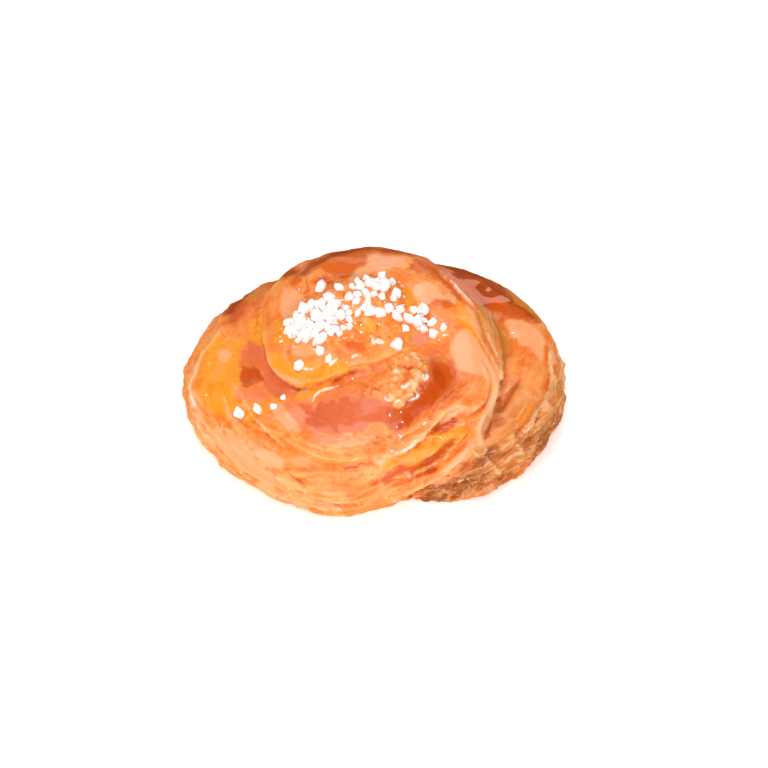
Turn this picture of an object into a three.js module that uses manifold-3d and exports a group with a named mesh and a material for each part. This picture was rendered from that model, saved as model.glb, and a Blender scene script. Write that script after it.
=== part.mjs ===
// A glazed ensaimada: one strip of laminated dough rolled into a rising spiral, with pearl sugar stuck to its
// crown. Millimetres, +Z up. The bun rests on its flat baked base at z = 0, and the origin is the middle
// of that base. The strip's outer end is tucked in at the front right, and its inner end is the crown.
import * as THREE from "three";
import { mergeVertices } from "three/addons/utils/BufferGeometryUtils.js";
import Module from "manifold-3d";

const wasm = await Module();
wasm.setup();

const { sin, cos, atan2, PI, abs, hypot, min, max, pow, round } = Math;
const DEG = PI / 180;

// The roll: the strip winds anticlockwise from above, from its tucked tail to the crown.
const AXIS_X = -4.72; // the spiral's axis, from the middle of the bun's box
const AXIS_Y = -0.15;
const FOOT = 1.5; // how far a section reaches below the base before it is cut flat

// Stations along the strip, by turn in degrees: its outer and inner radius, the height of its crest and of
// its widest point, how much its top leans, as rise for each millimetre towards the axis, and how square its
// outline is, as the power of a superellipse: 2 is an ellipse, and more is squarer.
const STATIONS = [
  { turn: -70, outer: 37, inner: 33.5, crest: 4, belly: 2, lean: 0, square: 2.2 },
  { turn: -58, outer: 45, inner: 32, crest: 12, belly: 6, lean: 0, square: 2.5 },
  { turn: -40, outer: 51.6, inner: 32, crest: 18.5, belly: 9.5, lean: 0, square: 2.8 },
  { turn: 0, outer: 57.8, inner: 35, crest: 22, belly: 10, lean: 0, square: 3.1 },
  { turn: 45, outer: 52.3, inner: 33, crest: 24.5, belly: 9, lean: 0.1, square: 2.5 },
  { turn: 90, outer: 44.5, inner: 26, crest: 20, belly: 8, lean: 0.1, square: 2.5 },
  { turn: 140, outer: 46.5, inner: 24, crest: 23, belly: 8, lean: 0.15, square: 2.5 },
  { turn: 180, outer: 48.5, inner: 20, crest: 21.5, belly: 9.5, lean: 0.12, square: 2.6 },
  { turn: 225, outer: 43.8, inner: 17, crest: 21, belly: 7, lean: 0.2, square: 2.8 },
  { turn: 265, outer: 44.5, inner: 11, crest: 22, belly: 7, lean: 0.25, square: 2.8 },
  { turn: 292, outer: 40.6, inner: 13, crest: 23.5, belly: 9, lean: 0.2, square: 2.8 },
  { turn: 325, outer: 41.8, inner: 23, crest: 26, belly: 14, lean: 0.1, square: 2.6 },
  { turn: 360, outer: 41.2, inner: 15, crest: 32, belly: 18, lean: 0.2, square: 2.6 },
  { turn: 405, outer: 38.5, inner: 8, crest: 37, belly: 20, lean: 0.1, square: 2.6 },
  { turn: 450, outer: 34, inner: 5, crest: 38, belly: 20, lean: 0, square: 2.6 },
  { turn: 495, outer: 33.6, inner: 4, crest: 35.5, belly: 19, lean: 0, square: 2.5 },
  { turn: 530, outer: 28, inner: 2, crest: 30, belly: 18, lean: 0, square: 2.5 },
  { turn: 560, outer: 20, inner: 0, crest: 25, belly: 16, lean: 0, square: 2.5 },
];
const CUTS = [-70, 130, 330, 560]; // the strip is made in lengths of less than a turn

// The middle of the roll, where its turns are baked into one another: radius and height down its outline.
const HEART = [
  [38, 8],
  [33, 17],
  [27, 22],
  [15, 27],
  [0, 30],
];

// Domes that stand in the roll, from its axis: middle, half length and half width, turn of the length from
// +X, height of the widest level, rise above it, climb for each millimetre along the length, and how square
// the outline is from the side, as the power of a superellipse: under 2 it comes to a soft peak.
const CROWN = { x: 0, y: 6, long: 39, wide: 34, turn: 20, base: 8, rise: 32.5, climb: 0.03, square: 1.5 };
const TONGUE = { x: 6, y: -15, long: 29, wide: 21, turn: 18, base: 12, rise: 16.5, climb: 0.15, square: 2.2 };

// Laminations: ledges that run along the roll's wall, where the edges of its layers show.
const LEDGE = { every: 17, depth: 0.5, wander: 9 }; // degrees round the section, millimetres, degrees
const FOLD = { from: 275, to: 352, soft: 18, depth: 1, slant: 0.55 }; // deep slanting folds, front right
const LUMP = 0.35; // height of the broad unevenness of the dough

// Open cells in the tail's side, where the layers have parted: count, then ranges of the turn, of the angle
// round the section, and of half their length, half their height and their depth in millimetres.
const CELLS = { count: 14, turn: [-54, 16], around: [-38, 48] };
const CELL = { long: [2, 4.2], high: [0.7, 1.3], deep: [1.1, 1.9] };

// Torn crumb at the right end of the tongue: a patch of knobs, from the roll's axis, and their radii.
const TEAR = { x: 15, y: -16.5, long: 6.5, wide: 4.5, turn: 0, count: 9, knob: [1.5, 2.7] };

// Pearl sugar: patches of nibs, each from the roll's axis, with its half length, half width and turn, and
// nibs that lie apart, each with its place from the axis and its size. In a patch, apart is the least
// distance between the middles of two nibs.
const NIB = [2, 3.6]; // a nib's size from the smallest to the largest
const PATCHES = [
  { x: -10.2, y: -2.2, long: 9.4, wide: 5.8, turn: -12, count: 46, apart: 1.4 },
  { x: 4.6, y: 4.6, long: 8.6, wide: 6, turn: 60, count: 24, apart: 1.8 },
  { x: 16.2, y: -0.6, long: 7.6, wide: 3.8, turn: -14, count: 14, apart: 2.7 },
];
const STRAYS = [
  { x: -9.8, y: 9.6, size: 3.4 },
  { x: -5, y: 7, size: 2.7 },
  { x: 6.4, y: -1.5, size: 3.9 },
  { x: 11.1, y: -8.2, size: 3.6 },
  { x: -9.7, y: -10.7, size: 3.2 },
  { x: -7.6, y: -12.6, size: 2.3 },
  { x: -15.4, y: -12.2, size: 3 },
  { x: -31.6, y: -22.1, size: 3.4 },
  { x: -26.4, y: -21.7, size: 3 },
  { x: -22.3, y: -21.5, size: 2.6 },
  { x: -19.7, y: -18.9, size: 2 },
];
const MOST_TRIES = 30; // places drawn for one nib before it takes the last of them

const ROUND = 26; // points on the part of a section that shows
const UNDER = 8; // points on the part that is hidden
const SHOWS = [-75, 125]; // the part that shows, in degrees round the section
const STEP = 5; // degrees of turn between sections

function mix(a, b, t) {
  return a + (b - a) * t;
}

function smooth(t) {
  const u = min(max(t, 0), 1);
  return u * u * (3 - 2 * u);
}

// A station's value at any turn, on a smooth curve through the stations.
function along(turn, key) {
  let k = 0;
  while (k < STATIONS.length - 2 && turn > STATIONS[k + 1].turn) k++;
  const near = [k - 1, k, k + 1, k + 2].map((i) => STATIONS[min(max(i, 0), STATIONS.length - 1)]);
  const [before, from, to, after] = near.map((at) => at[key]);
  const span = near[2].turn - near[1].turn;
  const t = (turn - near[1].turn) / span;
  const leave = ((to - before) * span) / (near[2].turn - near[0].turn);
  const reach = ((after - from) * span) / (near[3].turn - near[1].turn);
  const u = t * t * (3 - 2 * t);
  return mix(from, to, u) + leave * t * (1 - t) * (1 - t) - reach * t * t * (1 - t);
}

// A hump of height 1 between two turns, with soft ends.
function between(turn, from, to, soft) {
  return smooth((turn - from) / soft) * smooth((to - turn) / soft);
}

// How far the surface stands out from the plain section at a turn and an angle round it, both in degrees.
function relief(turn, around) {
  const wander = LEDGE.wander * (sin(turn * 0.061) + 0.6 * sin(turn * 0.137 + 1.2));
  const folds = between(turn, FOLD.from, FOLD.to, FOLD.soft);
  const wave = (around + wander + FOLD.slant * folds * (turn - FOLD.from)) / LEDGE.every;
  const ledge = pow(0.5 + 0.5 * sin(2 * PI * wave), 1.6) - 0.4;
  const wall = smooth((around + 80) / 25) * smooth((75 - around) / 35);
  const lumps = LUMP * sin(turn * 0.19 + around * 0.05) * sin(around * 0.083 - turn * 0.071 + 0.7);
  return mix(LEDGE.depth, FOLD.depth, folds) * ledge * wall + lumps * smooth((around + 85) / 20);
}

// A point of the strip's surface at a turn, at an angle round the section: 0 faces out and 90 faces up.
function stripPoint(turn, around, size) {
  const half = (along(turn, "outer") - along(turn, "inner")) / 2;
  const belly = along(turn, "belly");
  const power = along(turn, "square");
  const c = cos(around * DEG);
  const s = sin(around * DEG);
  const reach = size / pow(pow(abs(c), power) + pow(abs(s), power), 1 / power);
  const raised = relief(turn, around) * size;
  const height = s > 0 ? along(turn, "crest") - belly : belly + FOOT;
  const out = half * c * reach + raised * c;
  const r = along(turn, "inner") + half + out;
  const z = belly + height * s * reach + raised * s - along(turn, "lean") * out * smooth(s + 0.3);
  return new THREE.Vector3(AXIS_X + r * cos(turn * DEG), AXIS_Y + r * sin(turn * DEG), z);
}

function solid(geometry) {
  const bare = geometry.clone();
  bare.deleteAttribute("normal");
  bare.deleteAttribute("uv");
  const merged = mergeVertices(bare, 1e-4);
  return new wasm.Manifold(
    new wasm.Mesh({
      numProp: 3,
      vertProperties: new Float32Array(merged.attributes.position.array),
      triVerts: new Uint32Array(merged.index.array),
    }),
  );
}

function reshape(geometry, move) {
  const position = geometry.attributes.position;
  const p = new THREE.Vector3();
  for (let i = 0; i < position.count; i++) {
    p.fromBufferAttribute(position, i);
    const q = move(p);
    position.setXYZ(i, q.x, q.y, q.z);
  }
  return geometry;
}

// The angle round a section of its k-th point: close together where the strip shows.
function pointAngle(k) {
  const [low, high] = SHOWS;
  if (k < ROUND) return mix(low, high, k / ROUND);
  return mix(high, low + 360, (k - ROUND) / UNDER);
}

// One length of the strip: a cylinder whose axis follows the turn and whose side becomes the section.
function stripLength(from, to) {
  const steps = round((to - from) / STEP);
  const points = ROUND + UNDER;
  const bar = new THREE.CylinderGeometry(1, 1, 1, points, steps);
  return reshape(bar, (p) => {
    const turn = mix(from, to, 0.5 + p.y);
    const size = hypot(p.x, p.z) > 0.5 ? 1 : 0;
    const k = round((atan2(p.z, p.x) / (2 * PI)) * points + points) % points;
    return stripPoint(turn, pointAngle(k), size);
  });
}

// A dome, such as the crown at the strip's inner end.
function dome(place) {
  const ball = new THREE.SphereGeometry(1, 36, 18);
  return reshape(ball, (p) => {
    const u = p.x * place.long;
    const far = min(hypot(p.x, p.z), 1);
    const level = pow(1 - pow(far, place.square), 1 / place.square) * (p.y > 0 ? 1 : -0.4);
    const z = place.base + level * place.rise + u * place.climb;
    return new THREE.Vector3(...inPlace(place, u, -p.z * place.wide), z);
  });
}

function heart() {
  const outline = [[0, -FOOT], [HEART[0][0], -FOOT], ...HEART].map(([r, z]) => new THREE.Vector2(r, z));
  const lathe = new THREE.LatheGeometry(outline, 48);
  lathe.rotateX(PI / 2);
  lathe.translate(AXIS_X, AXIS_Y, 0);
  return lathe;
}

// A repeatable stream of numbers from 0 to 1.
function stream(seed) {
  let state = seed * 48271;
  return () => {
    state = (state * 16807) % 2147483647;
    return state / 2147483647;
  };
}

function within([low, high], draw) {
  return mix(low, high, draw());
}

// A place in an ellipse that is turned and stands off the roll's axis: u along its length and v across it.
function inPlace(ellipse, u, v) {
  const turn = ellipse.turn * DEG;
  return [
    AXIS_X + ellipse.x + u * cos(turn) - v * sin(turn),
    AXIS_Y + ellipse.y + u * sin(turn) + v * cos(turn),
  ];
}

// A place drawn from an elliptic patch, denser in its middle.
function scattered(patch, draw) {
  const angle = 2 * PI * draw();
  const far = pow(draw(), 0.6);
  return inPlace(patch, far * cos(angle) * patch.long, far * sin(angle) * patch.wide);
}

// Height of the surface under the sky at a place.
function topAt(meshes, x, y) {
  const ray = new THREE.Raycaster(new THREE.Vector3(x, y, 100), new THREE.Vector3(0, 0, -1));
  return ray.intersectObjects(meshes)[0].point.z;
}

// Open cells: lens-shaped hollows whose length runs along the roll.
function openCells() {
  const draw = stream(11);
  const cells = [];
  for (let i = 0; i < CELLS.count; i++) {
    const turn = mix(...CELLS.turn, (i + 0.8 * draw()) / CELLS.count);
    const middle = stripPoint(turn, within(CELLS.around, draw), 1);
    const hollow = new THREE.SphereGeometry(1, 8, 5);
    hollow.scale(within(CELL.deep, draw), within(CELL.long, draw), within(CELL.high, draw));
    hollow.rotateX((draw() - 0.3) * 0.9);
    hollow.rotateZ(turn * DEG);
    hollow.translate(middle.x, middle.y, middle.z);
    cells.push(hollow);
  }
  return cells;
}

function tornCrumb(top) {
  const draw = stream(23);
  const knobs = [];
  for (let i = 0; i < TEAR.count; i++) {
    const [x, y] = scattered(TEAR, draw);
    const size = within(TEAR.knob, draw);
    const knob = new THREE.SphereGeometry(size, 8, 5);
    knob.scale(1.2, 0.8, 0.8);
    knob.rotateZ(draw() * PI);
    knob.translate(x, y, topAt([top], x, y) - 0.25 * size);
    knobs.push(knob);
  }
  return knobs;
}

// One nib of pearl sugar: a lump with flat faces, narrower at one end.
function nib(size, draw) {
  const lump = new THREE.CylinderGeometry(0.42 * size, 0.62 * size, 0.85 * size, 4, 1);
  lump.scale(1.1, 1, 0.85);
  lump.rotateX(draw() * PI);
  lump.rotateY(draw() * PI);
  lump.rotateZ(draw() * PI);
  return lump;
}

// The nibs' places and sizes: those that lie apart, then those of the patches.
function scatter(draw) {
  const spots = STRAYS.map(({ x, y, size }) => ({ x: AXIS_X + x, y: AXIS_Y + y, size }));
  for (const patch of PATCHES) {
    for (let i = 0; i < patch.count; i++) {
      let x;
      let y;
      for (let tries = 0; tries < MOST_TRIES; tries++) {
        [x, y] = scattered(patch, draw);
        if (spots.every((spot) => hypot(x - spot.x, y - spot.y) > patch.apart)) break;
      }
      spots.push({ x, y, size: within(NIB, draw) });
    }
  }
  return spots;
}

// The nibs, each part sunk in what it lies on.
function sugar(top) {
  const draw = stream(7);
  const lying = [top];
  const nibs = [];
  for (const { x, y, size } of scatter(draw)) {
    const lump = nib(size, draw);
    const surface = min(topAt(lying, x, y), topAt([top], x, y) + 0.4 * size);
    lump.translate(x, y, surface + 0.18 * size);
    nibs.push(lump);
    lying.push(new THREE.Mesh(lump));
  }
  return nibs;
}

// The space over the surface that the bun rests on.
function above() {
  const box = new THREE.BoxGeometry(160, 160, 80);
  box.translate(0, 0, 40);
  return box;
}

// The one outer shell of a solid, with the hollows between its turns filled and loose scraps dropped.
function outerShell(made) {
  return made.decompose().reduce((a, b) => (a.volume() > b.volume() ? a : b));
}

function meshOf(name, made, material) {
  const m = made.getMesh();
  const g = new THREE.BufferGeometry();
  const v = new Float32Array(m.numVert * 3);
  for (let i = 0; i < m.numVert; i++) {
    v.set(m.vertProperties.subarray(i * m.numProp, i * m.numProp + 3), i * 3);
  }
  g.setAttribute("position", new THREE.BufferAttribute(v, 3));
  g.setIndex(new THREE.BufferAttribute(new Uint32Array(m.triVerts), 1));
  g.computeVertexNormals();
  const mesh = new THREE.Mesh(g, material);
  mesh.name = name;
  return mesh;
}

const dough = new THREE.MeshStandardMaterial({ color: 0xe08a45, roughness: 0.35, metalness: 0 });

// The roll: its turns, its two domes and its middle, cut flat where it rests.
let roll = solid(heart());
for (let k = 0; k < CUTS.length - 1; k++) roll = roll.add(solid(stripLength(CUTS[k], CUTS[k + 1])));
for (const place of [CROWN, TONGUE]) roll = roll.add(solid(dome(place)));
for (const cell of openCells()) roll = roll.subtract(solid(cell));
roll = outerShell(roll.intersect(solid(above())));

// What lies on it is baked on: the torn crumb, then the sugar.
for (const knob of tornCrumb(meshOf("roll", roll, dough))) roll = roll.add(solid(knob));
for (const lump of sugar(meshOf("roll", roll, dough))) roll = roll.add(solid(lump));

const bun = new THREE.Group();
bun.add(meshOf("ensaimada", outerShell(roll), dough));

export default bun;
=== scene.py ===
"""A glazed ensaimada: laminated dough rolled into a rising spiral, glazed, with pearl sugar on its crown."""

import math

import bmesh
import bpy
import numpy as np
from mathutils import Matrix, Vector, noise
from mathutils.bvhtree import BVHTree
from mathutils.geometry import barycentric_transform


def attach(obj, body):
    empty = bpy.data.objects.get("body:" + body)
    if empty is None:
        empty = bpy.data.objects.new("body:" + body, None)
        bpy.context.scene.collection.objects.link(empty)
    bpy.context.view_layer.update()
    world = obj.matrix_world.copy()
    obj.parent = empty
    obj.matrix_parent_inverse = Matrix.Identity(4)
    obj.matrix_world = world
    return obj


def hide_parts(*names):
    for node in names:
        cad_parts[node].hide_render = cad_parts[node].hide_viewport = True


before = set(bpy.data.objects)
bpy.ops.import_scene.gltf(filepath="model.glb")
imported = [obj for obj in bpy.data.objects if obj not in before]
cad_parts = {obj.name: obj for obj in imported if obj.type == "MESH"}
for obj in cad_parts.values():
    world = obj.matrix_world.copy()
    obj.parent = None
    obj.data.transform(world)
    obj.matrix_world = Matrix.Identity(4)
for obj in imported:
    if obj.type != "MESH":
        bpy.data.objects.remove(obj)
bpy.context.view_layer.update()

MM = 0.001

# The spiral's axis from the middle of the bun's base, in millimetres. Every place below is from this axis.
AXIS = (-4.72, -0.15)
FOOT = 1.5  # how far a section reaches below the base before it is cut flat

# Stations along the strip: turn in degrees, outer and inner radius, height of the crest and of the widest
# point, lean towards the axis, and the power of the section's superellipse.
STATIONS = np.array([
    (-70, 37, 33.5, 4, 2, 0, 2.2),
    (-58, 45, 32, 12, 6, 0, 2.5),
    (-40, 51.6, 32, 18.5, 9.5, 0, 2.8),
    (0, 57.8, 35, 22, 10, 0, 3.1),
    (45, 52.3, 33, 24.5, 9, 0.1, 2.5),
    (90, 44.5, 26, 20, 8, 0.1, 2.5),
    (140, 46.5, 24, 23, 8, 0.15, 2.5),
    (180, 48.5, 20, 21.5, 9.5, 0.12, 2.6),
    (225, 43.8, 17, 21, 7, 0.2, 2.8),
    (265, 44.5, 11, 22, 7, 0.25, 2.8),
    (292, 40.6, 13, 23.5, 9, 0.2, 2.8),
    (325, 41.8, 23, 26, 14, 0.1, 2.6),
    (360, 41.2, 15, 32, 18, 0.2, 2.6),
    (405, 38.5, 8, 37, 20, 0.1, 2.6),
    (450, 34, 5, 38, 20, 0, 2.6),
    (495, 33.6, 4, 35.5, 19, 0, 2.5),
    (530, 28, 2, 30, 18, 0, 2.5),
    (560, 20, 0, 25, 16, 0, 2.5),
])
HEART = [(38, -1.5), (38, 8), (33, 17), (27, 22), (15, 27), (0.5, 30)]

# Domes: middle, half length and half width, turn of the length, height of the widest level, rise, climb.
CROWN = dict(x=0, y=6, long=39, wide=34, turn=20, base=8, rise=32.5, climb=0.03, square=1.5)
TONGUE = dict(x=6, y=-15, long=29, wide=21, turn=18, base=12, rise=16.5, climb=0.15, square=2.2)

TEAR = dict(x=15, y=-16.5, long=6.5, wide=4.5, turn=0, count=9, knob=(1.5, 2.7))

NIB = (2, 3.6)
PATCHES = [
    dict(x=-10.2, y=-2.2, long=9.4, wide=5.8, turn=-12, count=46, apart=1.4),
    dict(x=4.6, y=4.6, long=8.6, wide=6, turn=60, count=24, apart=1.8),
    dict(x=16.2, y=-0.6, long=7.6, wide=3.8, turn=-14, count=14, apart=2.7),
]
STRAYS = [(-9.8, 9.6, 3.4), (-5, 7, 2.7), (6.4, -1.5, 3.9), (11.1, -8.2, 3.6), (-9.7, -10.7, 3.2),
          (-7.6, -12.6, 2.3), (-15.4, -12.2, 3), (-31.6, -22.1, 3.4), (-26.4, -21.7, 3),
          (-22.3, -21.5, 2.6), (-19.7, -18.9, 2)]

# The camera: what it looks at from the middle of the base, its height in degrees, reach and lens.
AIM = Vector((2.66, 0, 10.06))
HEIGHT = math.radians(42)
REACH = 600
LENS = 100.4
SENSOR = 36
FRAME = 768  # pixels across the picture
BUN_MIDDLE = (375, 385)  # the pixel in the middle of the bun

# Lines on the dough, drawn as x,y pixels of the photo.
LINES = {
    "crown_lip": "262,318 263,335 266,350 271,367 279,377 290,384 300,386 313,383 327,379 340,375 352,370 "
        "365,368 380,369",
    "crown_fold": "345,365 360,364 375,362 388,357 400,352 415,348",
    "channel": "284,396 297,391 312,387 328,381 343,376",
    "left_pool": "246,341 252,350 257,361 262,374 272,386 286,394",
    "left_rim": "222,326 214,340 204,352 198,364 193,378 190,388 193,404 198,420 204,436",
    "front_line_high": "262,420 272,424 283,430 295,439 310,446 330,451 350,452 362,450",
    "front_line_low": "250,424 262,430 275,434 290,444 305,452 322,459 345,462 362,459 376,453",
    "front_crack": "342,470 350,467 356,467 361,463 367,464 374,461",
    "wall_crack": "288,473 294,478 299,481 305,488",
    "wall_mark_1": "283,468 286,470 289,469",
    "wall_mark_2": "246,441 248,444",
    "wall_mark_3": "219,423 220,427",
    "wall_mark_4": "354,500 361,497 368,498",
    "wall_mark_5": "297,489 302,493",
    "fold_mark": "438,419 440,424 437,427",
    "crown_mark_1": "306,278 309,291",
    "front_flake": "378,466 384,460 388,452",
    "fold_ridge_1": "385,459 400,455 412,448 420,441 430,431 440,421 448,413 460,408 472,408",
    "fold_ridge_2": "398,440 410,433 422,427 434,420",
    "fold_groove_1": "431,446 437,437 442,429 450,423 460,417",
    "fold_ridge_3": "405,465 418,459 430,453 443,445 452,436 460,428",
    "fold_groove_2": "405,467 418,466 432,460 444,451 452,443 458,433",
    "fold_groove_3": "366,487 380,483 392,478 402,470 415,467",
    "fold_ridge_4": "400,476 416,474 430,467 440,462 452,452 460,442 466,430",
    "fold_groove_4": "383,484 400,482 416,480 430,472 442,466",
    "rim_low": "414,492 428,485 440,480 448,473 458,465 465,457 471,448",
    "rim_side": "481,442 483,426 487,417 493,411 496,397 499,383 502,370 501,361",
    "rim_top": "423,261 433,267 444,276 454,285 463,295 472,305 478,312",
    "cup_edge": "288,336 285,350 289,364 299,374 312,379 328,374",
    "tail_flap": "484,279 494,286 506,294 518,302 530,311 539,321",
    "rim_shoulder": "479,311 484,325 489,340 495,352 499,362",
    "tail_edge": "549,340 549,352 549,364 551,376 549,388 545,399 540,408 534,418 526,430 518,440 511,446",
    "curl": "471,448 474,453 479,455 484,453 486,449 483,446",
    "strand_1": "485,455 489,461 493,465 496,470 501,474",
    "strand_2": "477,463 485,466 489,462",
    "strand_3": "514,443 519,448 523,452 518,453 506,460 496,464",
    "sheet_1": "452,477 462,478 467,476 475,472",
    "sheet_2": "470,480 475,484 471,488 462,491 453,494",
    "sheet_3": "527,403 520,412 516,419",
    "sheet_4": "517,376 509,389 501,397",
    "sheet_5": "539,405 533,418 524,431 516,441",
    "skin_edge": "541,413 540,428 536,444 528,456 520,465 505,477 494,484",
    "side_groove": "520,376 514,386 509,394 505,402 500,409",
    "slit_1": "541,410 538,416 535,422",
    "slit_2": "533,424 526,430 518,441",
    "slit_3": "504,456 510,452 514,449",
    "slit_4": "477,477 486,473 492,470",
    "slit_5": "456,489 464,485 472,484",
    "slit_6": "497,464 502,464",
    "hole": "442,496 448,496",
    "pin_hole": "501,472 503,472",
    "pool_edge": "466,377 459,385 450,392 440,401 433,410 429,420",
    "tail_valley": "489,312 497,320 503,330 508,342 508,352 504,362 502,372",
    "valley": "446,362 450,378 444,396 428,414 408,428",
    "left_fold": "233,384 239,394 246,407 253,418 262,427 272,437 284,447",
    "left_fold_low": "222,392 226,404 231,416 240,424 250,431",
    "inner_rim": "468,318 475,330 482,342 490,356 497,368",
    "fold_rim": "385,457 400,453 412,446 420,438 430,429 440,418",
    # Lines for painted glints, where the wet glaze catches the light.
    "arc_glint": "313,401 315,396 321,391 330,388 338,386",
    "crown_glint": "351,359 355,355 361,356",
    "sugar_glint": "373,337 377,342 384,343",
    "fold_glint": "401,452 410,448 416,440",
    "edge_glint": "447,278 455,286 462,295 468,302",
    "left_glint": "191,386 192,398 196,408",
    "glint_1": "410,400 416,398 418,394 415,391",
    "glint_2": "401,386 405,387 409,383 412,381",
    "glint_3": "421,378 425,380 427,375 427,371",
    "glint_4": "385,396 387,400 391,401",
    "glint_5": "391,372 396,370 399,372",
    "glint_6": "412,359 417,358 420,360",
    "glint_7": "395,403 398,400 402,402",
    "glint_8": "300,364 305,369 313,369",
    "glint_9": "329,366 333,362 337,359",
    "glint_10": "371,336 374,343 378,340 386,343",
}
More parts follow.
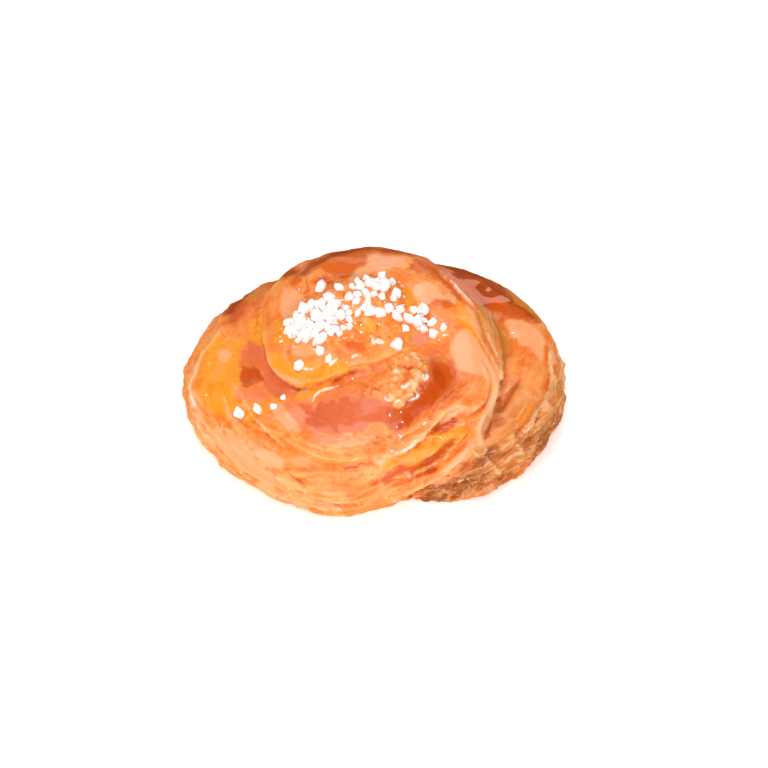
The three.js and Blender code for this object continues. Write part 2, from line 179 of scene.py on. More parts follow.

# Outlines of patches of the crust, drawn as x,y pixels of the photo, by the colour that they have.
OUTLINES = {
    # Red-brown crust of the tongue, with a painted pink reflection of the softbox on its glaze.
    "stain_and_sheen": [
        "300,404 318,404 335,401 352,396 375,399 391,402 394,414 389,424 378,424 362,429 350,433 338,434 "
        "322,433 312,427 306,418 304,411",
        "382,478 392,470 406,465 410,468 398,477 386,484",
    ],
    # Painted reflection of the softbox on the glaze of the left pool.
    "sheen": [
        "242,347 250,341 258,345 266,358 272,368 282,380 297,391 294,398 281,399 271,393 264,384 262,373 "
        "254,364 243,361",
    ],
    # Painted reflections of the softbox on the glaze of the tail's top and the crown.
    "gleam": [
        "440,266 450,270 458,279 470,280 481,282 474,287 480,293 490,297 503,295 511,300 503,303 488,303 "
        "478,304 470,297 455,283",
        "485,289 489,287 492,289 489,292 485,291",
        "413,336 424,331 429,338 420,346 413,342",
    ],
    "brown": [
        "428,257 450,261 475,269 495,279 515,296 530,308 541,321 525,319 505,314 490,312 480,306 470,296 "
        "458,284 445,272",
        "296,277 305,266 322,256 345,248 375,247 410,249 426,256 400,254 370,252 347,255 324,264 306,275",
        "222,312 245,288 262,274 300,268 296,276 264,284 248,297 230,316",
    ],
    "window": [
        "528,406 534,406 533,413 527,423 520,429 517,426 519,418 523,411",
    ],
    "rust": [
        "519,444 519,439 526,432 533,432 533,442 526,448",
        "458,470 462,465 476,462 478,467 470,472 460,474",
        "498,474 507,475 516,474 512,480 502,484 497,480",
        "517,380 519,386 512,396 506,406 499,412 498,404 505,394 511,386",
        "494,420 502,416 508,420 502,426 495,428",
    ],
    "shade": [
        "224,324 234,308 246,298 258,292 262,298 250,308 243,318 232,326",
        "430,352 440,360 452,366 458,378 451,391 438,403 424,415 408,427 398,434 393,428 404,412 414,400 "
        "422,388 427,372",
    ],
    # The darkest red-orange, where the glaze pools in the creases, the valley and the folds, with their
    # shade painted in.
    "deep": [
        "242,365 254,366 262,373 263,378 256,382 250,388 243,385 240,375",
        "434,364 443,370 448,380 440,393 428,402 418,408 424,396 432,382",
        "436,428 446,421 459,418 454,427 442,433",
        "386,424 388,408 399,408 412,396 426,382 440,384 437,398 426,411 412,422 400,432 391,431",
        "408,470 420,462 432,456 446,444 456,440 450,450 438,460 424,468 412,474",
    ],
    # Painted pink reflections on the glaze below the left pool and on the tongue.
    "pink_sheen": [
        "237,390 250,387 258,384 266,390 270,398 262,401 250,402 240,398",
        "282,401 298,400 314,404 312,418 322,432 336,440 322,444 308,434 298,424 288,410",
        "314,396 330,391 350,388 362,392 350,398 332,402 318,403",
    ],
    "russet": [
        "430,302 438,299 448,300 455,306 448,309 438,307",
        "344,342 352,340 364,344 367,350 356,352 346,348",
        "318,268 330,262 345,256 366,253 368,262 356,270 348,279 336,277 326,273",
        "288,282 298,276 302,280 293,286",
        "312,282 322,276 334,279 336,285 320,285",
        "484,308 494,300 512,305 526,313 538,323 528,322 515,318 502,321 492,316",
        "409,270 412,263 420,258 432,262 444,272 454,284 461,296 464,305 456,297 444,285 432,277 420,273",
    ],
    "amber": [
        "472,303 480,308 486,318 488,334 483,337 480,325 474,314",
        "477,302 488,308 498,316 509,334 510,353 504,366 499,350 489,327 481,314",
        "507,290 520,295 533,304 541,312 540,320 530,312 516,303",
        "244,300 262,284 280,272 282,277 266,288 250,304",
    ],
    # Paler crust, and on the tops and flats, painted reflections of the softbox on the glaze.
    "pale": [
        "283,288 296,290 304,300 292,312 286,326 282,316 281,300",
        "218,352 226,349 231,354 226,361 218,359",
        "550,398 552,404 549,412 544,410 543,402",
        "413,290 418,283 428,280 436,285 444,293 454,298 455,304 446,301 434,301 424,303 416,300",
        "346,278 354,270 364,262 374,255 392,256 408,262 410,268 395,268 380,271 362,277 352,282",
        "458,332 468,330 480,345 490,360 497,372 495,386 483,376 470,374 457,366 450,352",
        "503,321 515,319 530,323 541,334 545,348 542,362 533,352 520,342 511,334",
        "270,366 278,370 288,376 298,380 303,385 294,385 284,380 274,374",
        "212,432 222,440 245,452 262,466 280,484 268,484 248,472 226,456",
        "255,448 268,450 282,460 286,468 272,468 260,460",
        "465,300 472,306 480,322 484,334 476,330 470,318",
        "270,404 284,406 296,420 300,432 286,428 274,416",
        "233,386 238,386 243,396 250,408 246,408 238,398",
        "494,380 501,377 499,395 494,410 485,430 482,445 475,441 478,425 484,410 490,395",
        "468,440 476,438 471,455 461,468 449,480 433,487 424,484 440,474 452,462 462,450",
        "440,420 448,411 460,407 470,408 462,413 450,419 441,427",
    ],
    "yellow": [
        "404,291 412,286 418,292 421,302 416,312 408,306",
        "275,320 284,325 292,338 286,348 277,340",
        "362,322 372,320 377,328 368,334 361,330",
        "204,348 218,336 232,337 245,342 239,352 238,365 238,390 230,412 212,414 198,392",
        "250,318 264,314 265,336 258,344 250,338",
        "268,350 280,355 300,362 340,362 345,372 325,380 300,386 282,378 272,366",
        "232,396 245,403 262,402 275,398 300,390 330,382 318,394 300,400 276,404 258,418 240,418 230,408",
        "408,456 430,445 460,425 468,430 455,448 430,460 410,466",
        "455,304 466,308 474,322 480,342 470,336 460,322",
        "386,460 404,453 420,445 434,434 444,428 450,430 440,440 426,450 410,458 394,466 382,468",
    ],
    # Paler crust on the bulges and ridges, lightened further as a painted highlight where they catch the
    # light.
    "cream": [
        "415,290 419,285 428,282 435,286 443,294 452,299 444,299 434,298 424,299 417,297",
        "290,346 298,343 310,345 314,352 308,356 298,356 291,352",
        "214,430 226,428 240,436 262,446 276,456 282,466 268,468 250,460 232,450 218,442",
        "190,384 195,392 198,408 206,426 214,444 206,440 196,420 190,400",
        "262,478 280,492 300,502 320,508 300,508 278,500 262,488",
        "374,458 384,452 396,450 404,452 392,460 380,465",
        "318,440 332,436 350,436 368,434 376,439 352,446 332,447 320,444",
        "496,384 500,381 498,396 493,410 490,408 494,396",
        "446,474 458,460 468,446 473,444 468,457 457,472 446,480 436,482",
        "446,415 454,410 464,408 468,411 456,414 446,419",
    ],
    "tan": [
        "502,372 512,376 522,384 540,392 560,380 566,400 558,430 545,455 528,480 500,494 465,504 430,502 "
        "420,494 440,482 458,466 470,448 480,440 484,420 493,405 500,388",
    ],
    # Painted shadow low on the tail and in its recesses.
    "tail_shadow": [
        "420,492 440,484 456,480 470,474 488,472 484,486 468,496 446,503 424,502",
        "538,436 548,424 562,414 560,430 550,446 536,462 530,456",
        "478,456 488,448 500,444 498,456 486,464 474,468",
        "484,420 492,408 500,398 504,410 496,424 488,436 482,440",
    ],
    "grainy": [
        "313,402 320,393 340,387 360,384 385,378 392,400 375,398 352,395 335,400 318,404",
        "270,424 290,428 310,440 335,446 365,442 380,430 392,430 396,446 370,455 340,456 310,450 284,438",
        "290,290 300,282 330,285 350,292 330,304 300,302",
    ],
    "torn": [
        "386,358 398,352 414,350 426,356 431,370 429,384 422,396 410,406 399,410 388,404 384,392 389,378 "
        "384,366",
    ],
}

# Crumbs of sugar and beads of glaze that catch the light, as x,y pixels of the photo.
CRUMBS = ("423,376 403,405 401,412 390,415 402,422 397,427 395,438 400,436 392,451 402,443 397,453 "
          "353,379 347,362 206,395 425,423 320,276 299,289 361,332 513,333 440,437")
CRUMB = (0.5, 1.0)
DUST = 14  # crumbs for each ten nibs
CHIP = (1.1, 2.0)  # larger crumbs that fill the heap
CHIPS = 34

# Strokes along the lines, whose sides are above and below when a line runs from left to right as seen from
# the front: the line, how far the dough stands out above it and how wide, in millimetres, the same below it,
# and how much browner each side gets, which also paints shade into grooves and light onto ridges.
STROKES = [
    ("crown_lip", (0.8, 2.6), (-0.7, 2.2), (0, 0.15)),
    ("cup_edge", (-0.5, 3), (0.3, 1.6), (0.08, 0)),
    ("crown_fold", (0.3, 1.6), (-0.4, 1.8), (-0.12, 0.1)),
    ("left_pool", (-0.7, 3.2), (-0.7, 4), (0.05, 0.05)),
    ("left_fold", (0.4, 0.9), (-0.4, 1.4), (-0.15, 0.12)),
    ("left_fold_low", (-0.25, 1.0), (0.25, 0.9), (0.08, -0.15)),
    ("front_line_high", (0.3, 0.9), (-0.2, 1.2), (-0.12, 0.04)),
    ("front_line_low", (0.35, 1.4), (-0.35, 1.2), (-0.12, 0.06)),
    ("fold_ridge_1", (0.7, 2.2), (-0.7, 1.6), (-0.25, 0.1)),
    ("fold_ridge_2", (0.35, 1.2), (-0.4, 1.2), (-0.15, 0.1)),
    ("fold_ridge_3", (0.5, 1.4), (0.4, 1.4), (-0.1, -0.05)),
    ("fold_groove_2", (-0.6, 1.4), (-0.6, 1.6), (0.15, 0.15)),
    ("fold_ridge_4", (0.5, 1.6), (-0.5, 1.6), (-0.2, 0.05)),
    ("rim_low", (0.6, 2.2), (-1.0, 1.8), (-0.2, 0.12)),
    ("rim_side", (0.6, 2.2), (-1.0, 1.8), (-0.25, 0.12)),
    ("rim_top", (0.4, 0.8), (-0.7, 1.4), (-0.35, 0.1)),
    ("rim_shoulder", (0.4, 0.9), (-0.5, 1.4), (-0.25, 0.05)),
    ("tail_flap", (0.5, 0.9), (-0.4, 1.2), (-0.2, 0.05)),
    ("tail_edge", (0.5, 1.2), (-0.5, 1.2), (-0.3, 0.05)),
    ("slit_2", (-0.8, 0.4), (-0.8, 0.6), (0.35, 0.35)),
    ("slit_4", (-0.4, 0.5), (-0.9, 1.2), (0.25, 0.2)),
    ("sheet_1", (0.3, 1.2), (-0.6, 1.2), (-0.2, 0.1)),
    ("sheet_2", (-0.3, 0.8), (0.7, 1.0), (0, -0.15)),
    ("sheet_3", (0.5, 0.8), (-0.3, 1.2), (-0.2, 0)),
    ("sheet_4", (0.5, 0.8), (-0.3, 1.2), (-0.15, 0.05)),
    ("sheet_5", (0.7, 1.2), (0.7, 0.5), (-0.25, -0.1)),
    ("skin_edge", (-0.6, 0.9), (0.5, 2.5), (0.12, 0)),
    ("pool_edge", (-0.25, 0.7), (0.3, 0.7), (0.1, -0.05)),
]

# Strokes that are the same on both sides: line, how far they stand out and how wide, and how much browner,
# which paints shade into the grooves, slits and holes and light onto the ridges.
EVEN_STROKES = [
    ("channel", (-0.3, 2), 0.08),
    ("left_rim", (0.35, 0.9), -0.2),
    ("front_crack", (-0.3, 0.4), 0.2),
    ("wall_crack", (-0.35, 0.5), 0.25),
    ("front_flake", (0.5, 1.2), -0.25),
    ("fold_groove_1", (-0.6, 1.3), 0.2),
    ("fold_groove_3", (-0.4, 1.4), 0.1),
    ("fold_groove_4", (-0.4, 1.2), 0.08),
    ("slit_1", (-1.1, 0.5), 0.5),
    ("slit_3", (-0.9, 0.4), 0.4),
    ("slit_5", (-1.3, 0.6), 0.7),
    ("slit_6", (-0.8, 0.5), 0.3),
    ("hole", (-1.5, 0.8), 0.8),
    ("pin_hole", (-0.8, 0.4), 0.5),
    ("side_groove", (-0.9, 1.0), 0.35),
    ("curl", (1.0, 0.7), -0.25),
    ("strand_1", (0.9, 0.7), -0.2),
    ("strand_2", (0.7, 0.6), -0.2),
    ("strand_3", (0.9, 0.7), -0.2),
    ("valley", (-0.8, 3.5), 0.1),
    ("tail_valley", (-0.6, 2.4), 0.05),
]

# Lines painted on the crust, with half their width in millimetres: painted glints where the wet glaze
# catches the light, pale rims where a sheet of dough ends, with a painted highlight along them, pale lips
# along the ridges, painted lighter where they catch the light, and dark cracks.
PAINTED = {
    "painted_glint": dict(wide=0.42, lines=["arc_glint", "crown_glint", "sugar_glint", "fold_glint", "edge_glint",
                                    "left_glint"] + [f"glint_{k}" for k in range(1, 11)]),
    "rim": dict(wide=0.35, lines=["rim_top", "rim_shoulder", "rim_side", "left_rim", "tail_edge",
                                  "inner_rim", "fold_rim", "strand_1", "strand_2", "strand_3", "curl",
                                  "sheet_3", "sheet_4", "sheet_5", "left_fold", "left_fold_low"]),
    "lip": dict(wide=0.8, lines=["crown_fold", "front_line_low", "front_line_high", "fold_ridge_1",
                                 "fold_ridge_2", "fold_ridge_4", "rim_low"]),
    "crack": dict(wide=0.28, lines=["front_crack", "wall_crack", "fold_mark", "crown_mark_1", "pin_hole"]
                  + [f"wall_mark_{k}" for k in range(1, 6)]),
}

# Creases that the glaze has filled: they are evened out, within a width in millimetres.
FILLED = [("crown_fold", 5), ("channel", 3), ("crown_lip", 1.5)]

VOXEL = 0.5  # millimetres between points of the finished dough
SOFTEN = 24  # rounds of smoothing, which round the creases between the turns
RISE = (-2.2, 1.6)  # the most that strokes and lumps may sink and rise
GLAZED = ("sheen", "stain_and_sheen", "deep", "russet", "pale", "shade", "gleam", "pink_sheen")  # patches under a film
SHAPED = ("grainy", "torn")  # patches that are relief alone


def smooth(t):
    u = np.clip(t, 0, 1)
    return u * u * (3 - 2 * u)


def along(turn):
    """The station values at one turn, on a smooth curve through the stations."""
    turns = STATIONS[:, 0]
    k = int(np.clip(np.searchsorted(turns, turn, side="left") - 1, 0, len(turns) - 2))
    before, start, end, after = (STATIONS[min(max(k + i, 0), len(turns) - 1)] for i in (-1, 0, 1, 2))
    span = end[0] - start[0]
    t = (turn - start[0]) / span
    leave = (end - before) * span / (end[0] - before[0])
    reach = (after - start) * span / (after[0] - start[0])
    u = t * t * (3 - 2 * t)
    return start + (end - start) * u + leave * t * (1 - t) ** 2 - reach * t * t * (1 - t)


def strip_point(turn, around):
    """A point of the strip, in millimetres from the axis: around is 0 where it faces out and 90 where up."""
    _, outer, inner, crest, belly, lean, power = along(turn)
    half = (outer - inner) / 2
    c = math.cos(math.radians(around))
    s = math.sin(math.radians(around))
    reach = 1 / (abs(c) ** power + abs(s) ** power) ** (1 / power)
    out = half * c * reach
    height = crest - belly if s > 0 else belly + FOOT
    r = inner + half + out
    z = belly + height * s * reach - lean * out * float(smooth(s + 0.3))
    return Vector((r * math.cos(math.radians(turn)), r * math.sin(math.radians(turn)), z))


def in_place(ellipse, u, v):
    turn = math.radians(ellipse["turn"])
    x = ellipse["x"] + u * math.cos(turn) - v * math.sin(turn)
    y = ellipse["y"] + u * math.sin(turn) + v * math.cos(turn)
    return x, y


def stream(seed):
    """A repeatable stream of numbers from 0 to 1."""
    state = seed * 48271
    while True:
        state = state * 16807 % 2147483647
        yield state / 2147483647


def between_draw(span, draw):
    return span[0] + (span[1] - span[0]) * next(draw)


def scattered(patch, draw):
    angle = 2 * math.pi * next(draw)
    far = next(draw) ** 0.6
    return in_place(patch, far * math.cos(angle) * patch["long"], far * math.sin(angle) * patch["wide"])


def deselect():
    bpy.ops.object.select_all(action="DESELECT")


def only(piece):
    deselect()
    piece.select_set(True)
    bpy.context.view_layer.objects.active = piece


def apply_modifier(piece, kind, **settings):
    only(piece)
    modifier = piece.modifiers.new(kind.lower(), kind)
    for name, value in settings.items():
        setattr(modifier, name, value)
    bpy.ops.object.modifier_apply(modifier=modifier.name)


# The dough in its plain form

POINTS = 56  # points round a section
SEAM = -120  # where a section starts, underneath, in degrees round it
TURN_STEP = 4  # degrees between sections


def strip():
    """The strip: a ring of points that is extruded section by section round the spiral."""
    first, last = STATIONS[0, 0], STATIONS[-1, 0]
    bpy.ops.mesh.primitive_circle_add(vertices=POINTS, radius=1, fill_type="NGON")
    piece = bpy.context.object
    bpy.ops.object.mode_set(mode="EDIT")
    mesh = bmesh.from_edit_mesh(piece.data)
    number = mesh.verts.layers.int.new("number")
    turning = mesh.verts.layers.float.new("turn")
    rounding = mesh.verts.layers.float.new("around")
    mesh.verts.ensure_lookup_table()
    for k, loop in enumerate(mesh.faces[:][0].loops):
        loop.vert[number] = k

    def place(turn):
        made = bmesh.from_edit_mesh(piece.data)
        for vert in made.verts:
            if vert.select:
                around = SEAM + 360 * vert[number] / POINTS
                vert.co = strip_point(turn, around)
                vert[turning] = turn
                vert[rounding] = around
        bmesh.update_edit_mesh(piece.data)

    bpy.ops.mesh.select_all(action="SELECT")
    place(first)
    for turn in np.arange(first + TURN_STEP, last + 0.1, TURN_STEP):
        bpy.ops.mesh.extrude_region_move()
        place(float(turn))
    bpy.ops.object.mode_set(mode="OBJECT")
    piece.name = "strip"
    return piece


def dome(place):
    bpy.ops.mesh.primitive_uv_sphere_add(segments=64, ring_count=32, radius=1)
    piece = bpy.context.object
    for vert in piece.data.vertices:
        p = vert.co
        u = p.x * place["long"]
        far = min(math.hypot(p.x, p.y), 1)
        level = math.copysign((1 - far ** place["square"]) ** (1 / place["square"]), p.z)
        z = place["base"] + level * place["rise"] * (1 if level > 0 else 0.4) + u * place["climb"]
        x, y = in_place(place, u, p.y * place["wide"])
        vert.co = (x, y, z)
    return piece


def heart():
    """The middle of the roll: a disc drawn up level by level."""
    bpy.ops.mesh.primitive_circle_add(vertices=96, radius=HEART[0][0], fill_type="NGON")
    piece = bpy.context.object
    bpy.ops.transform.translate(value=(0, 0, HEART[0][1]))
    bpy.ops.object.transform_apply(location=True)
    bpy.ops.object.mode_set(mode="EDIT")
    bpy.ops.mesh.select_all(action="SELECT")
    for (r, z), (r_next, z_next) in zip(HEART, HEART[1:]):
        bpy.ops.mesh.extrude_region_move(TRANSFORM_OT_translate={"value": (0, 0, z_next - z)})
        scale = r_next / r
        bpy.ops.transform.resize(value=(scale, scale, 1), center_override=(0, 0, z_next))
    bpy.ops.object.mode_set(mode="OBJECT")
    return piece


def knobs(tree):
    """Torn crumb at the right end of the tongue: small knobs sunk in the roll."""
    draw = stream(23)
    made = []
    for _ in range(TEAR["count"]):
        x, y = scattered(TEAR, draw)
        size = between_draw(TEAR["knob"], draw)
        turn = next(draw) * math.pi
        z = top_at(tree, x, y) - 0.25 * size
        bpy.ops.mesh.primitive_uv_sphere_add(segments=16, ring_count=10, radius=size)
        knob = bpy.context.object
        flat = Matrix.Diagonal((1.2, 0.8, 0.8, 1))
        knob.data.transform(Matrix.Translation((x, y, z)) @ Matrix.Rotation(turn, 4, "Z") @ flat)
        made.append(knob)
    return made


def top_at(tree, x, y):
    return tree.ray_cast(Vector((x, y, 100)), Vector((0, 0, -1)))[0].z


def tree_of(pieces):
    verts = []
    faces = []
    for piece in pieces:
        start = len(verts)
        verts += [v.co.copy() for v in piece.data.vertices]
        faces += [[start + i for i in f.vertices] for f in piece.data.polygons]
    return BVHTree.FromPolygons(verts, faces)


def join(pieces):
    deselect()
    for piece in pieces:
        piece.select_set(True)
    bpy.context.view_layer.objects.active = pieces[0]
    bpy.ops.object.join()
    return pieces[0]


def joined_tree(pieces):
    """All faces of some pieces for nearest-point searches, with each point's turn, angle round and piece."""
    points = []
    marks = []
    triangles = []
    for number, piece in enumerate(pieces):
        start = len(points)
        piece.data.calc_loop_triangles()
        turns = piece.data.attributes["turn"].data
        rounds = piece.data.attributes["around"].data
        for vert in piece.data.vertices:
            points.append(vert.co.copy())
            marks.append(Vector((turns[vert.index].value, rounds[vert.index].value, number)))
        triangles += [[start + i for i in t.vertices] for t in piece.data.loop_triangles]
    return BVHTree.FromPolygons(points, triangles), points, marks, triangles


def read(mesh, what):
    values = np.empty(len(mesh.vertices) * 3)
    mesh.vertices.foreach_get(what, values)
    return values.reshape(-1, 3)


def write(mesh, points):
    mesh.vertices.foreach_set("co", points.ravel())
    mesh.update()


def spread(mesh, values, times):
    """Values that are evened out over neighbouring points some number of times."""
    edges = np.empty(len(mesh.edges) * 2, dtype=np.int64)
    mesh.edges.foreach_get("vertices", edges)
    a, b = edges[0::2], edges[1::2]
    count = np.bincount(a, minlength=len(values)) + np.bincount(b, minlength=len(values))
    values = values.astype(float).reshape(len(values), -1)
    for _ in range(times):
        total = np.empty_like(values)
        for k, column in enumerate(values.T):
            total[:, k] = np.bincount(a, column[b], len(values)) + np.bincount(b, column[a], len(values))
        values = 0.3 * values + 0.7 * total / count[:, None]
    return values


def grain(points, size, detail=1, seed=0.0):
    """Noise of about -1 to 1 at each point, with lumps of a size in millimetres."""
    shift = Vector((seed * 17.3, seed * 5.1, seed * 11.7))
    if detail == 1:
        return np.array([noise.noise(Vector(p) / size + shift) for p in points])
    return np.array([noise.fractal(Vector(p) / size + shift, 1.0, 2.0, detail) for p in points])


def mark(piece, turns, rounds):
    """Stores the two directions of the dough on a piece's points."""
    for name, values in (("turn", turns), ("around", rounds)):
        data = piece.data.attributes.get(name) or piece.data.attributes.new(name, "FLOAT", "POINT")
        data.data.foreach_set("value", values)


def mark_round(piece, place):
    """A dome's directions: the angle round its middle, and how far up it a point is."""
    p = read(piece.data, "co")
    x, y = p[:, 0] - place["x"], p[:, 1] - place["y"]
    turns = np.degrees(np.arctan2(y, x)) % 360
    rounds = np.degrees(np.arctan2(p[:, 2] - place["base"], np.hypot(x, y) + 0.01))
    mark(piece, turns, rounds)


def directions(points, tree, tree_points, tree_marks, triangles):
    """The turn, the angle round the section and the piece at each point of the finished dough."""
    found = np.empty((len(points), 3))
    for i, p in enumerate(points):
        spot, _, face, _ = tree.find_nearest(Vector(p))
        corners = [tree_points[k] for k in triangles[face]]
        marks = [tree_marks[k] for k in triangles[face]]
        found[i] = barycentric_transform(spot, *corners, *marks)
    return found


def plain_dough():
    """The dough as one closed form, cut flat where it rests, with the directions of its points."""
    pieces = [strip(), heart(), dome(CROWN), dome(TONGUE)]
    for piece, place in zip(pieces[1:], (dict(x=0, y=0, base=0), CROWN, TONGUE)):
        mark_round(piece, place)
    crumbs = knobs(tree_of(pieces))
    for knob in crumbs:
        mark_round(knob, TEAR | dict(base=20))
    marked = joined_tree(pieces + crumbs)
    piece = join(pieces + crumbs)
    piece.name = "dough"
    apply_modifier(piece, "REMESH", mode="VOXEL", voxel_size=VOXEL)
    apply_modifier(piece, "SMOOTH", factor=0.5, iterations=SOFTEN)
    bpy.ops.object.mode_set(mode="EDIT")
    bpy.ops.mesh.select_all(action="SELECT")
    bpy.ops.mesh.bisect(plane_co=(0, 0, 0), plane_no=(0, 0, 1), use_fill=True, clear_inner=True)
    bpy.ops.object.mode_set(mode="OBJECT")
    return piece, directions(read(piece.data, "co"), *marked)


LEDGE = dict(every=17, depth=0.5, wander=9)
FOLD = dict(start=275, end=352, soft=18, depth=1.0, slant=0.55)
LUMP = 0.35


def relief(turn, around):
    """How far the strip's surface stands out, in millimetres, from its ledges, folds and lumps."""
    wander = LEDGE["wander"] * (np.sin(turn * 0.061) + 0.6 * np.sin(turn * 0.137 + 1.2))
    folds = smooth((turn - FOLD["start"]) / FOLD["soft"]) * smooth((FOLD["end"] - turn) / FOLD["soft"])
    wave = (around + wander + FOLD["slant"] * folds * (turn - FOLD["start"])) / LEDGE["every"]
    ledge = (0.5 + 0.5 * np.sin(2 * np.pi * wave)) ** 1.6 - 0.4
    wall = smooth((around + 80) / 25) * smooth((75 - around) / 35)
    lumps = LUMP * np.sin(turn * 0.19 + around * 0.05) * np.sin(around * 0.083 - turn * 0.071 + 0.7)
    depth = LEDGE["depth"] + (FOLD["depth"] - LEDGE["depth"]) * folds
    return depth * ledge * wall + lumps * smooth((around + 85) / 20)


# The photo's camera, and places on the dough that are drawn as its pixels


def pairs(line):
    """The places of a line or an outline that is written as x,y pairs."""
    return [tuple(int(number) for number in pair.split(",")) for pair in line.split()]


def eye():
    """The camera's place, in millimetres from the spiral's axis, and its forward, right and up."""
    away = Vector((0, -math.cos(HEIGHT), math.sin(HEIGHT)))
    right = Vector((1, 0, 0))
    return AIM + REACH * away - Vector((*AXIS, 0)), -away, right, right.cross(-away)


def seen(surface, x, y):
    """The place on the dough at a pixel of the photo. A pixel just off the dough slides in to its edge."""
    start, forward, right, up = eye()
    half = SENSOR / 2 / LENS
    middle = FRAME / 2
    while True:
        way = forward + right * ((x - middle) / middle * half) + up * ((middle - y) / middle * half)
        spot = surface.ray_cast(start, way.normalized())[0]
        if spot and spot.z > 0.05:
            return spot
        x += (BUN_MIDDLE[0] - x) * 0.01
        y += (BUN_MIDDLE[1] - y) * 0.01


def pixels(points):
    """Where the camera sees each point, in pixels of the photo."""
    start, forward, right, up = (np.array(v) for v in eye())
    offset = points - start
    depth = offset @ forward
    middle = FRAME / 2
    scale = middle / (SENSOR / 2 / LENS)
    return np.column_stack([middle + offset @ right / depth * scale, middle - offset @ up / depth * scale])


def shown(points, normal, surface):
    """Which points face the camera with nothing in front of them."""
    least, out, ahead = 0.04, 0.6, 0.3
    toward = np.array(eye()[0]) - points
    toward /= np.linalg.norm(toward, axis=1)[:, None]
    facing = np.sum(toward * normal, axis=1)
    clear = np.zeros(len(points), dtype=bool)
    for i in np.nonzero(facing > least)[0]:
        spot = Vector(points[i] + out * normal[i] + ahead * toward[i])
        clear[i] = surface.ray_cast(spot, Vector(toward[i]))[0] is None
    return clear


def curved(places, step):
    """A smooth curve through some places."""
    p = np.array(places, dtype=float)
    p = np.vstack([2 * p[0] - p[1], p, 2 * p[-1] - p[-2]])
    made = []
    for k in range(1, len(p) - 2):
        count = max(int(np.linalg.norm(p[k + 1] - p[k]) / step), 1)
        t = np.arange(count)[:, None] / count
        a, b, c, d = p[k - 1:k + 3]
        made.append(0.5 * (2 * b + (c - a) * t + (2 * a - 5 * b + 4 * c - d) * t ** 2
                           + (3 * b - a - 3 * c + d) * t ** 3))
    return np.vstack(made + [p[-2:-1]])


def drawn(line, surface, step=0.35):
    """A smooth curve on the dough through the pixels of a line."""
    curve = curved([seen(surface, x, y) for x, y in pairs(LINES[line])], step)
    return np.array([surface.find_nearest(Vector(p))[0] for p in curve])


def beside(curve, points, normal, reach):
    """The points near a curve, how far each is from it, negative on its upper side, and how far along."""
    in_reach = (points > curve.min(axis=0) - reach) & (points < curve.max(axis=0) + reach)
    near = np.nonzero(np.all(in_reach, axis=1))[0]
    offset = points[near][:, None, :] - curve[None, :, :]
    distance = np.linalg.norm(offset, axis=2)
    closest = distance.argmin(axis=1)
    row = np.arange(len(near))
    tangent = np.gradient(curve, axis=0)[closest]
    side = np.cross(tangent, normal[near])
    sign = np.sign(np.sum(offset[row, closest] * side, axis=1) + 1e-9)
    return near, sign * distance[row, closest], closest / (len(curve) - 1)


def ends(far, share):
    """1 along a curve, and down to 0 over a share of it at both ends."""
    return smooth(far / share) * smooth((1 - far) / share)


def brush(stroke, dough):
    """A stroke's rise and its browning at every point, with painted shade in grooves and light on ridges."""
    line, (up, up_wide), (down, down_wide), (brown_up, brown_down) = stroke
    curve = drawn(line, dough.surface)
    near, away, far = beside(curve, dough.points, dough.normal, 3 * max(up_wide, down_wide))
    above = np.where(away <= 0, np.exp(-(away / up_wide) ** 2), 0) * ends(far, 0.15)
    below = np.where(away > 0, np.exp(-(away / down_wide) ** 2), 0) * ends(far, 0.15)
    rise = np.zeros(len(dough.points))
    brown = np.zeros(len(dough.points))
    rise[near] = up * above + down * below
    brown[near] = brown_up * above + brown_down * below
    return rise, brown


PIXEL = 0.28  # millimetres across a pixel
DEEPEST = 4.0  # millimetres inside or outside an outline that are told apart


def inside(outline, spots):
    """How far each pixel spot is inside an outline, in millimetres; outside is negative."""
    step, margin = 3, 16  # pixels
    curve = curved(outline + outline[:1], step)[:-1]
    in_reach = (spots > curve.min(axis=0) - margin) & (spots < curve.max(axis=0) + margin)
    near = np.nonzero(np.all(in_reach, axis=1))[0]
    p = spots[near][:, None, :]
    a, b = curve[None], np.roll(curve, -1, axis=0)[None]
    crossing = (a[..., 1] > p[..., 1]) != (b[..., 1] > p[..., 1])
    level = (p[..., 1] - a[..., 1]) / (b[..., 1] - a[..., 1] + 1e-12)
    crossing &= p[..., 0] < a[..., 0] + level * (b[..., 0] - a[..., 0])
    along_edge = np.clip(np.sum((p - a) * (b - a), axis=2) / (np.sum((b - a) ** 2, axis=2) + 1e-9), 0, 1)
    distance = np.linalg.norm(p - a - along_edge[..., None] * (b - a), axis=2).min(axis=1)
    far = np.full(len(spots), -DEEPEST)
    far[near] = np.where(crossing.sum(axis=1) % 2 == 1, distance, -distance) * PIXEL
    return np.clip(far, -DEEPEST, DEEPEST)


class Dough:
    """The bun while it is shaped: its points and normals, and what is known of each point."""

    def __init__(self, piece, found):
        self.piece = piece
        self.mesh = piece.data
        self.points = read(self.mesh, "co")
        self.normal = read(self.mesh, "normal")
        self.turn, self.around, self.number = found.T
        self.on_strip = spread(self.mesh, (self.number < 0.5).astype(float), 3)[:, 0]
        self.along_roll = np.radians(self.turn) * 38
        self.across_roll = np.radians(self.around) * 10

    def move(self, points):
        """Puts the points in new places, none of them below the base."""
        points[:, 2] = np.maximum(points[:, 2], 0)
        write(self.mesh, points)
        self.points = points
        self.normal = read(self.mesh, "normal")
        self.surface = tree_of([self.piece])

    def patch(self, kind):
        """How far each point is inside the patches of a kind, fading where the dough turns away."""
        deepest = np.full(len(self.points), -DEEPEST)
        for outline in OUTLINES[kind]:
            deepest = np.maximum(deepest, inside(pairs(outline), self.spots))
        return np.minimum(deepest, DEEPEST * (2 * self.clear - 1))

    def grain(self, size, seed):
        return grain(self.points, size, 2, seed)


